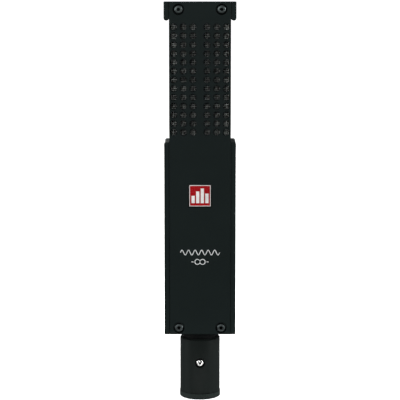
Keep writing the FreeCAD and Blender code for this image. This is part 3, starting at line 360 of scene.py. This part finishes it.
# one entry for each material slot of the CAD nodes
MATERIALS = {
    "black_body": lambda: painted("black_paint", BLACK),
    # the barrel's lip gets a paler band of painted light from the floor
    "black_barrel": lambda: painted(
        "barrel_paint", BARREL_BLACK, roughness=0.42, grain=4, floor_light_below=LIP_HEIGHT
    ),
    # near-black, darker than the body's paint: partly the collar's own black, partly painted shade
    # under the body
    "collar": lambda: moulded("collar_black_and_shade", (0.002, 0.003, 0.003, 1), gloss=0.08, roughness=0.6),
    # a higher recess threshold paints the screws' sockets and rims black, as painted shade
    "dark_screw": lambda: metal(
        "blackened_steel", (0.105, 0.125, 0.125, 1), roughness=0.36, recessed=0.6
    ),
    "bright_screw": lambda: metal("bright_steel", (0.93, 0.93, 0.91, 1), roughness=0.22, tarnish=0.08),
    "badge": lambda: moulded("red_enamel", linear(158, 18, 24), roughness=0.25, depth=0.003, gloss=0.2),
    "gauze": lambda: cloth_wire("gauze_wire", (0.94, 1.0, 0.96, 1)),
    "insulator": lambda: moulded("connector_black", linear(22, 23, 24), roughness=0.5),
    "contact": lambda: metal("contact_gold", (0.86, 0.66, 0.32, 1), roughness=0.2),
    "ribbon": lambda: metal("ribbon_foil", (0.85, 0.86, 0.88, 1), roughness=0.22),
    "magnet": lambda: moulded("magnet_coating", linear(34, 35, 37), roughness=0.4),
    "yoke": lambda: metal("yoke_iron", (0.12, 0.12, 0.13, 1), roughness=0.4, brushed=(1, 1, 0.06)),
    "motor_plate": lambda: metal("carrier", (0.55, 0.56, 0.57, 1), brushed=(0.06, 1, 1)),
    "isolator": lambda: moulded("rubber", linear(20, 20, 21), roughness=0.75, grain=0.9),
    "clamp_bar": lambda: metal("clamp_brass", (0.75, 0.55, 0.25, 1), brushed=(0.05, 1, 1)),
    "board": lambda: solder_mask("solder_mask", linear(18, 70, 38)),
    "can": lambda: metal("drawn_can", (0.50, 0.49, 0.47, 1), roughness=0.42, tarnish=0.4),
    "core": lambda: metal("core_strip", (0.20, 0.20, 0.22, 1), roughness=0.4, brushed=(1, 0.05, 1)),
    "winding": lambda: wound("copper_coils", (0.62, 0.22, 0.08, 1)),
    "capacitor": lambda: moulded("capacitor_sleeve", linear(22, 30, 62), roughness=0.3, depth=0.004),
    "film": lambda: moulded("capacitor_box", linear(150, 38, 26), roughness=0.32, depth=0.004),
    "transistor": lambda: moulded("transistor_black", linear(24, 24, 25), roughness=0.5),
    "resistor": lambda: banded(
        "resistor_lacquer",
        linear(98, 150, 182),
        [linear(120, 60, 20), linear(20, 20, 20), linear(190, 90, 20), linear(170, 130, 50)],
    ),
    "wire": lambda: moulded("wire_insulation", linear(44, 45, 48), roughness=0.4, depth=0.004),
}
# what only the visual pieces wear
EXTRA_MATERIALS = {
    "badge_rim": lambda: metal("badge_rim_metal", (0.06, 0.05, 0.05, 1), roughness=0.35),
    "white_enamel": lambda: moulded(
        "white_enamel", linear(236, 234, 232), roughness=0.25, depth=0.003
    ),
    "print": lambda: moulded("grey_print", linear(226, 230, 230), roughness=0.5, depth=0.003),
    # near-black inner mesh: partly a real lining, partly painted shade of the chamber behind the gauze
    "shade_lining": lambda: moulded(
        "shade_lining_mesh", (0.002, 0.0022, 0.002, 1), roughness=0.7, grain=6, depth=0.03, gloss=0.1
    ),
}


def dress_cad_nodes(materials):
    """Gives every CAD node the material of its slot."""
    for entry in frame["record"]["subparts"]:
        mesh = frame["nodes"][entry["node"]].data
        mesh.materials.clear()
        mesh.materials.append(materials[entry["material_slot"]])


# ---------------------------------------------------------------- mesh helpers


def link_mesh(mesh, name, smooth):
    """Turns a bmesh into a named object of the scene."""
    data = bpy.data.meshes.new(name)
    mesh.to_mesh(data)
    mesh.free()
    for face in data.polygons:
        face.use_smooth = smooth
    made = bpy.data.objects.new(name, data)
    bpy.context.scene.collection.objects.link(made)
    return made


def finish_piece(mesh, name, slot, materials, body=ROOT, smooth=True):
    """Turns a bmesh into a named piece of one material that rides on a CAD body."""
    bmesh.ops.recalc_face_normals(mesh, faces=mesh.faces)
    piece = link_mesh(mesh, name, smooth)
    piece.data.materials.append(materials[slot])
    if body:
        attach(piece, body)
    return piece


def join_rings(mesh, rings, closed=False):
    """Sides between neighbouring rings of points; open ends get a cap."""
    count = len(rings[0])
    pairs = list(zip(rings, rings[1:]))
    if closed:
        pairs.append((rings[-1], rings[0]))
    for low, high in pairs:
        for step in range(count):
            after = (step + 1) % count
            mesh.faces.new((low[step], low[after], high[after], high[step]))
    if not closed:
        mesh.faces.new(reversed(rings[0]))
        mesh.faces.new(rings[-1])


def add_tube(mesh, points, radius, sides=6):
    """A closed round wire through points; each section stands square to the path."""
    out = (points[1] - points[0]).orthogonal()
    rings = []
    for n, point in enumerate(points):
        before = points[max(n - 1, 0)]
        after = points[min(n + 1, len(points) - 1)]
        along = (after - before).normalized()
        out = (out - along * out.dot(along)).normalized()
        side = along.cross(out)
        turns = [2 * math.pi * step / sides for step in range(sides)]
        ring = [point + radius * (math.cos(turn) * out + math.sin(turn) * side) for turn in turns]
        rings.append([mesh.verts.new(place) for place in ring])
    join_rings(mesh, rings)


def add_block(mesh, low, high, bevel=0.0):
    """A box between two corners, its edges bevelled where asked."""
    corners = [
        mesh.verts.new((x, y, z))
        for x in (low.x, high.x)
        for y in (low.y, high.y)
        for z in (low.z, high.z)
    ]
    sides = [(0, 1, 3, 2), (4, 6, 7, 5), (0, 4, 5, 1), (2, 3, 7, 6), (0, 2, 6, 4), (1, 5, 7, 3)]
    faces = [mesh.faces.new([corners[n] for n in side]) for side in sides]
    if bevel:
        edges = list({edge for face in faces for edge in face.edges})
        bmesh.ops.bevel(mesh, geom=edges, offset=bevel, segments=2, affect="EDGES", profile=0.5)


# ---------------------------------------------------------------- woven gauze

GAUZE_PITCH = 1.06 * MM
GAUZE_WIRE = 0.165 * MM
GAUZE_STEPS = 3
LINING_INSET = 1.8 * MM
LINING_THICKNESS = 0.06 * MM


def woven_wire(middle, sway, number, reach, upright):
    """Points of one wire of the cloth.

    number counts the wires from the middle one, and reach the crossings from the middle outwards.
    """
    points = []
    for step in range(-reach * GAUZE_STEPS, reach * GAUZE_STEPS + 1):
        crossing = step / GAUZE_STEPS
        swing = sway * math.cos(math.pi * (crossing + number))
        along = crossing * GAUZE_PITCH
        aside = number * GAUZE_PITCH
        if upright:
            points.append(middle + Vector((aside, swing, along)))
        else:
            points.append(middle + Vector((along, -swing, aside)))
    return points


def gauze(node, materials):
    """Plain-woven wire cloth in the place of one of the CAD's gauze sheets."""
    low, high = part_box(node)
    middle = box_middle(node)
    sway = (high.y - low.y) / 2 - GAUZE_WIRE
    columns = int((high.x - low.x) / 2 / GAUZE_PITCH - 0.5)
    rows = int((high.z - low.z) / 2 / GAUZE_PITCH - 0.5)
    mesh = bmesh.new()
    for column in range(-columns, columns + 1):
        add_tube(mesh, woven_wire(middle, sway, column, rows, upright=True), GAUZE_WIRE)
    for row in range(-rows, rows + 1):
        add_tube(mesh, woven_wire(middle, sway, row, columns, upright=False), GAUZE_WIRE)
    cloth = finish_piece(mesh, f"{node}_wires", "gauze", materials)
    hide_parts(node)


def gauze_shade_lining(node, materials):
    """Fine mesh stretched over the chamber side of a wire cloth, in the chamber's opening, near-black
    as painted shade of the chamber behind it.
    """
    low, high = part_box(node)
    inward = -1 if low.y > 0 else 1
    outer = low.y if low.y > 0 else high.y
    front, back = sorted((outer, outer + inward * LINING_THICKNESS))
    first = Vector((low.x + LINING_INSET, front, low.z + LINING_INSET))
    second = Vector((high.x - LINING_INSET, back, high.z - LINING_INSET))
    mesh = bmesh.new()
    add_block(mesh, first, second)
    shade_lining = finish_piece(mesh, f"{node}_lining", "shade_lining", materials, smooth=False)
    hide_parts(node)


# ---------------------------------------------------------------- ribbon

RIBBON_TAB = 3.2 * MM
RIBBON_HALF_THICKNESS = 0.03 * MM
# in each half of the ribbon; a fold is half a wave
RIBBON_FOLDS = 20
FOLD_STEPS = 8
FOLD_DEPTH = 0.32 * MM


def ribbon_half(end, name, materials):
    """Half of the corrugated foil, from the middle to the upper (+1) or lower (-1) clamp."""
    low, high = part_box("ribbon")
    middle = box_middle("ribbon")
    reach = (high.z - low.z) / 2
    waved = reach - RIBBON_TAB
    steps = RIBBON_FOLDS * FOLD_STEPS
    line = []
    for height in (waved * step / steps for step in range(steps + 1)):
        fade = min(1.0, (waved - height) / (waved / RIBBON_FOLDS))
        wave = FOLD_DEPTH * fade * math.sin(math.pi * RIBBON_FOLDS * height / waved)
        line.append((middle.y + wave, middle.z + end * height))
    line.append((middle.y, middle.z + end * reach))
    mesh = bmesh.new()
    sections = []
    for y, z in line:
        section = [
            mesh.verts.new((x, y + offset, z))
            for x, offset in (
                (low.x, -RIBBON_HALF_THICKNESS),
                (high.x, -RIBBON_HALF_THICKNESS),
                (high.x, RIBBON_HALF_THICKNESS),
                (low.x, RIBBON_HALF_THICKNESS),
            )
        ]
        sections.append(section)
    join_rings(mesh, sections)
    half = finish_piece(mesh, name, "ribbon", materials, body=None, smooth=False)
    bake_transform(half)
    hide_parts("ribbon")


# ---------------------------------------------------------------- badge and legend

BADGE_RIM = 0.35 * MM
BADGE_LINE = 0.35 * MM
BADGE_STEP = 0.04 * MM
RIM_BEVEL = 0.12 * MM
ENAMEL_BEVEL = 0.03 * MM
BAR_BEVEL = 0.02 * MM
# shares of the badge's width
BAR_PITCH = 0.205
TALLEST_BAR = 0.66
# share of the bars' pitch, and each bar's share of the tallest one
BAR_WIDTH = 0.7
BAR_SHARES = (0.5, 0.8, 1.0, 0.65)


def badge_layer(name, corners, step, slot, materials, bevel):
    """One level of the badge, standing a number of steps proud of its rim."""
    low, high = corners
    mesh = bmesh.new()
    add_block(mesh, Vector((low.x, low.y - step * BADGE_STEP, low.z)), high, bevel)
    return finish_piece(mesh, name, slot, materials, smooth=False)


def badge(materials):
    """Square badge: dark rim, white line and red enamel, with plain level bars on it."""
    low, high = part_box("badge")
    rim = badge_layer("badge_rim", (low, high), 0, "badge_rim", materials, RIM_BEVEL)
    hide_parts("badge")
    inset = Vector((BADGE_RIM, 0, BADGE_RIM))
    line = (low + inset, high - inset)
    badge_layer("badge_line", line, 1, "white_enamel", materials, ENAMEL_BEVEL)
    inset += Vector((BADGE_LINE, 0, BADGE_LINE))
    badge_layer("badge_enamel", (low + inset, high - inset), 2, "badge", materials, ENAMEL_BEVEL)
    size = high.x - low.x
    middle = box_middle("badge")
    pitch = size * BAR_PITCH
    tallest = size * TALLEST_BAR
    floor = middle.z - tallest / 2
    half = pitch * BAR_WIDTH / 2
    for n, share in enumerate(BAR_SHARES):
        across = middle.x + (n - (len(BAR_SHARES) - 1) / 2) * pitch
        foot = Vector((across - half, low.y, floor))
        top = Vector((across + half, high.y, floor + tallest * share))
        badge_layer(f"badge_bar_{n + 1}", (foot, top), 3, "white_enamel", materials, BAR_BEVEL)


# how far the print stands proud of the cover; it is sunk in by as much
LEGEND_LIFT = 0.02 * MM
LEGEND_STROKE = 0.42 * MM
LEGEND_DROP = 27.8 * MM
WAVE_PERIODS = 6
WAVE_STEPS = 16
WAVE_LENGTH = 23.6 * MM
WAVE_HEIGHT = 3.0 * MM
SYMBOL_DROP = 5.7 * MM
SYMBOL_RADIUS = 1.55 * MM
SYMBOL_STEPS = 32
DASH_ENDS = (3.9 * MM, 5.2 * MM)


def add_printed_line(mesh, points, closed=False):
    """A flat printed stroke through points on the front cover, in x and z."""
    rings = []
    count = len(points)
    for n, point in enumerate(points):
        before = points[(n - 1) % count if closed else max(n - 1, 0)]
        after = points[(n + 1) % count if closed else min(n + 1, count - 1)]
        along = (after - before).normalized()
        side = Vector((-along.z, 0, along.x)) * LEGEND_STROKE / 2
        lift = Vector((0, LEGEND_LIFT, 0))
        offsets = (side - lift, side + lift, lift - side, -side - lift)
        rings.append([mesh.verts.new(point + offset) for offset in offsets])
    join_rings(mesh, rings, closed)


def printed_wave(centre, materials):
    """Sound wave, as one printed line."""
    steps = WAVE_PERIODS * WAVE_STEPS
    line = []
    for step in range(steps + 1):
        share = step / steps
        rise = WAVE_HEIGHT / 2 * math.sin(2 * math.pi * WAVE_PERIODS * share)
        line.append(centre + Vector(((share - 0.5) * WAVE_LENGTH, 0, rise)))
    mesh = bmesh.new()
    add_printed_line(mesh, line)
    finish_piece(mesh, "legend_wave", "print", materials, smooth=False)


def printed_pickup_pattern(centre, materials):
    """Figure-of-eight pickup symbol between two dashes."""
    turns = [2 * math.pi * step / SYMBOL_STEPS for step in range(SYMBOL_STEPS)]
    mesh = bmesh.new()
    for side in (-1, 1):
        middle = centre + Vector((side * SYMBOL_RADIUS, 0, 0))
        circle = [
            middle + SYMBOL_RADIUS * Vector((math.cos(turn), 0, math.sin(turn))) for turn in turns
        ]
        add_printed_line(mesh, circle, closed=True)
        add_printed_line(mesh, [centre + Vector((side * reach, 0, 0)) for reach in DASH_ENDS])
    finish_piece(mesh, "legend_pickup_pattern", "print", materials, smooth=False)


def legend(materials):
    """Printed marks on the front cover, below the badge."""
    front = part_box("front_plate")[0].y
    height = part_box("badge")[0].z - LEGEND_DROP
    centre = Vector((box_middle("front_plate").x, front, height))
    printed_wave(centre, materials)
    printed_pickup_pattern(centre - Vector((0, 0, SYMBOL_DROP)), materials)


# ---------------------------------------------------------------- stage, light, camera

CAMERA_DISTANCE = 0.9
CAMERA_ELEVATION = 8.0
CAMERA_LENS = 133.3
CAMERA_AIM = 1.0 * MM

SWEEP_RADIUS = 2.6
SWEEP_CURVE = 0.8
SWEEP_HEIGHT = 3.2
SWEEP_STEPS = 12
SWEEP_SIDES = 64
SEEN_WHITE = (0.86, 0.86, 0.86, 1)
DARK_ROOM = (0.06, 0.06, 0.06, 1)
SEEN_GLOW = 0.9
REFLECTED_GLOW = 0.1
SKY_GLOW = 0.1

# name, place, point aimed at (None for the microphone's middle), width and height, watts
LIGHTS = (
    ("overhead", (0, 0.6, 1.9), (0, 0.6, 0), (1.6, 1.2), 9),
    ("top_front", (0, -0.25, 1.3), None, (0.6, 0.2), 1.8),
    ("key", (-0.45, -1.5, 0.55), None, (0.25, 0.25), 4.8),
    ("floor_card", (0, -0.05, 0.004), (0, 0, 0.008), (0.08, 0.006), 0.009),
    ("right_strip_box", (0.95, -0.45, 0.3), None, (0.12, 0.9), 11),
    ("left_strip_box", (-1.0, -0.4, 0.3), None, (0.12, 0.9), 9),
    ("right_side_box", (1.5, 0.1, 0.5), None, (0.5, 0.9), 14),
    ("left_side_box", (-1.5, 0.1, 0.5), None, (0.5, 0.9), 14),
    ("rear_key", (-0.6, 1.4, 0.6), None, (0.4, 0.4), 18),
    ("rear_fill", (0.9, 1.2, 0.6), None, (0.4, 0.4), 7),
)


def sweep_material():
    """White to the camera but dark to reflections, and clear from outside and below."""
    graph = Graph("pale_sweep")
    grain = graph.spread(graph.noise(0.02, detail=4), 0, 1)
    seen = graph.node("ShaderNodeLightPath").outputs["Is Camera Ray"]
    white = graph.mix(grain, SEEN_WHITE, shade(SEEN_WHITE, 1.015))
    graph.set(
        Base_Color=graph.mix(seen, DARK_ROOM, white),
        Roughness=0.9,
        Specular_IOR_Level=0.1,
        Emission_Color=SEEN_WHITE,
        Emission_Strength=graph.spread(seen, REFLECTED_GLOW, SEEN_GLOW, 0, 1),
    )
    clear = graph.node("ShaderNodeBsdfTransparent").outputs[0]
    from_behind = graph.node("ShaderNodeNewGeometry").outputs["Backfacing"]
    shaders = {0: from_behind, 1: graph.shader.outputs[0], 2: clear}
    one_way = graph.node("ShaderNodeMixShader", shaders).outputs[0]
    graph.feed(graph.tree.nodes["Material Output"].inputs["Surface"], one_way)
    return graph.material


def stage(floor):
    """A pale round sweep: floor, curve and wall in one sheet, all the way round."""
    profile = [(0.0, floor)]
    for step in range(SWEEP_STEPS + 1):
        turn = math.pi / 2 * step / SWEEP_STEPS
        reach = SWEEP_RADIUS - SWEEP_CURVE * (1 - math.sin(turn))
        profile.append((reach, floor + SWEEP_CURVE * (1 - math.cos(turn))))
    profile.append((SWEEP_RADIUS, floor + SWEEP_HEIGHT))
    turns = [2 * math.pi * step / SWEEP_SIDES for step in range(SWEEP_SIDES)]
    mesh = bmesh.new()
    rings = []
    for reach, height in profile:
        ring = [(reach * math.cos(turn), reach * math.sin(turn), height) for turn in turns]
        rings.append([mesh.verts.new(place) for place in ring])
    for near, far in zip(rings, rings[1:]):
        for step in range(SWEEP_SIDES):
            after = (step + 1) % SWEEP_SIDES
            mesh.faces.new((near[step], far[step], far[after], near[after]))
    bmesh.ops.remove_doubles(mesh, verts=mesh.verts, dist=1e-6)
    sweep = link_mesh(mesh, "sweep", smooth=True)
    sweep.data.materials.append(sweep_material())


def area_light(name, place, aim, size, power):
    """A soft box that lights and is reflected, but isn't seen itself."""
    light = bpy.data.lights.new(name, "AREA")
    light.shape = "RECTANGLE"
    light.size, light.size_y = size
    light.energy = power
    lamp = bpy.data.objects.new(name, light)
    lamp.location = place
    lamp.rotation_mode = "QUATERNION"
    lamp.rotation_quaternion = (Vector(aim) - Vector(place)).to_track_quat("-Z", "Y")
    lamp.visible_camera = False
    bpy.context.scene.collection.objects.link(lamp)


def lights(middle):
    """A faint even sky, and soft boxes in front of, beside, behind and above the microphone."""
    world = bpy.data.worlds.new("studio")
    bpy.context.scene.world = world
    world.use_nodes = True
    background = world.node_tree.nodes["Background"]
    background.inputs["Color"].default_value = (1, 1, 1, 1)
    background.inputs["Strength"].default_value = SKY_GLOW
    for name, place, aim, size, power in LIGHTS:
        area_light(name, place, aim or middle, size, power)


def camera(middle):
    """The main view: from in front and a little above, through a long lens."""
    data = bpy.data.cameras.new("camera")
    data.lens = CAMERA_LENS
    data.sensor_width = 36
    data.clip_start, data.clip_end = 0.01, 20
    view = bpy.data.objects.new("camera", data)
    tilt = math.radians(CAMERA_ELEVATION)
    back = Vector((0, -math.cos(tilt), math.sin(tilt)))
    view.location = middle + back * CAMERA_DISTANCE + Vector((0, 0, CAMERA_AIM))
    view.rotation_mode = "QUATERNION"
    view.rotation_quaternion = (-back).to_track_quat("-Z", "Y")
    bpy.context.scene.collection.objects.link(view)
    bpy.context.scene.camera = view


def colour_settings():
    """Plain display colours, with no film look."""
    settings = bpy.context.scene.view_settings
    settings.view_transform = "Standard"
    settings.look = "None"
    settings.exposure = 0
    settings.gamma = 1


# ---------------------------------------------------------------- build


def build():
    """Dresses the CAD nodes, adds the visual pieces and sets the stage."""
    makers = {**MATERIALS, **EXTRA_MATERIALS}
    materials = {slot: make() for slot, make in makers.items()}
    dress_cad_nodes(materials)
    for node in ("front_gauze", "rear_gauze"):
        gauze(node, materials)
        gauze_shade_lining(node, materials)
    ribbon_half(1, "ribbon_upper_half", materials)
    ribbon_half(-1, "ribbon_lower_half", materials)
    badge(materials)
    legend(materials)
    low, high = CAD_BOX
    middle = (low + high) / 2
    stage(low.z)
    lights(middle)
    camera(middle)
    colour_settings()


build()
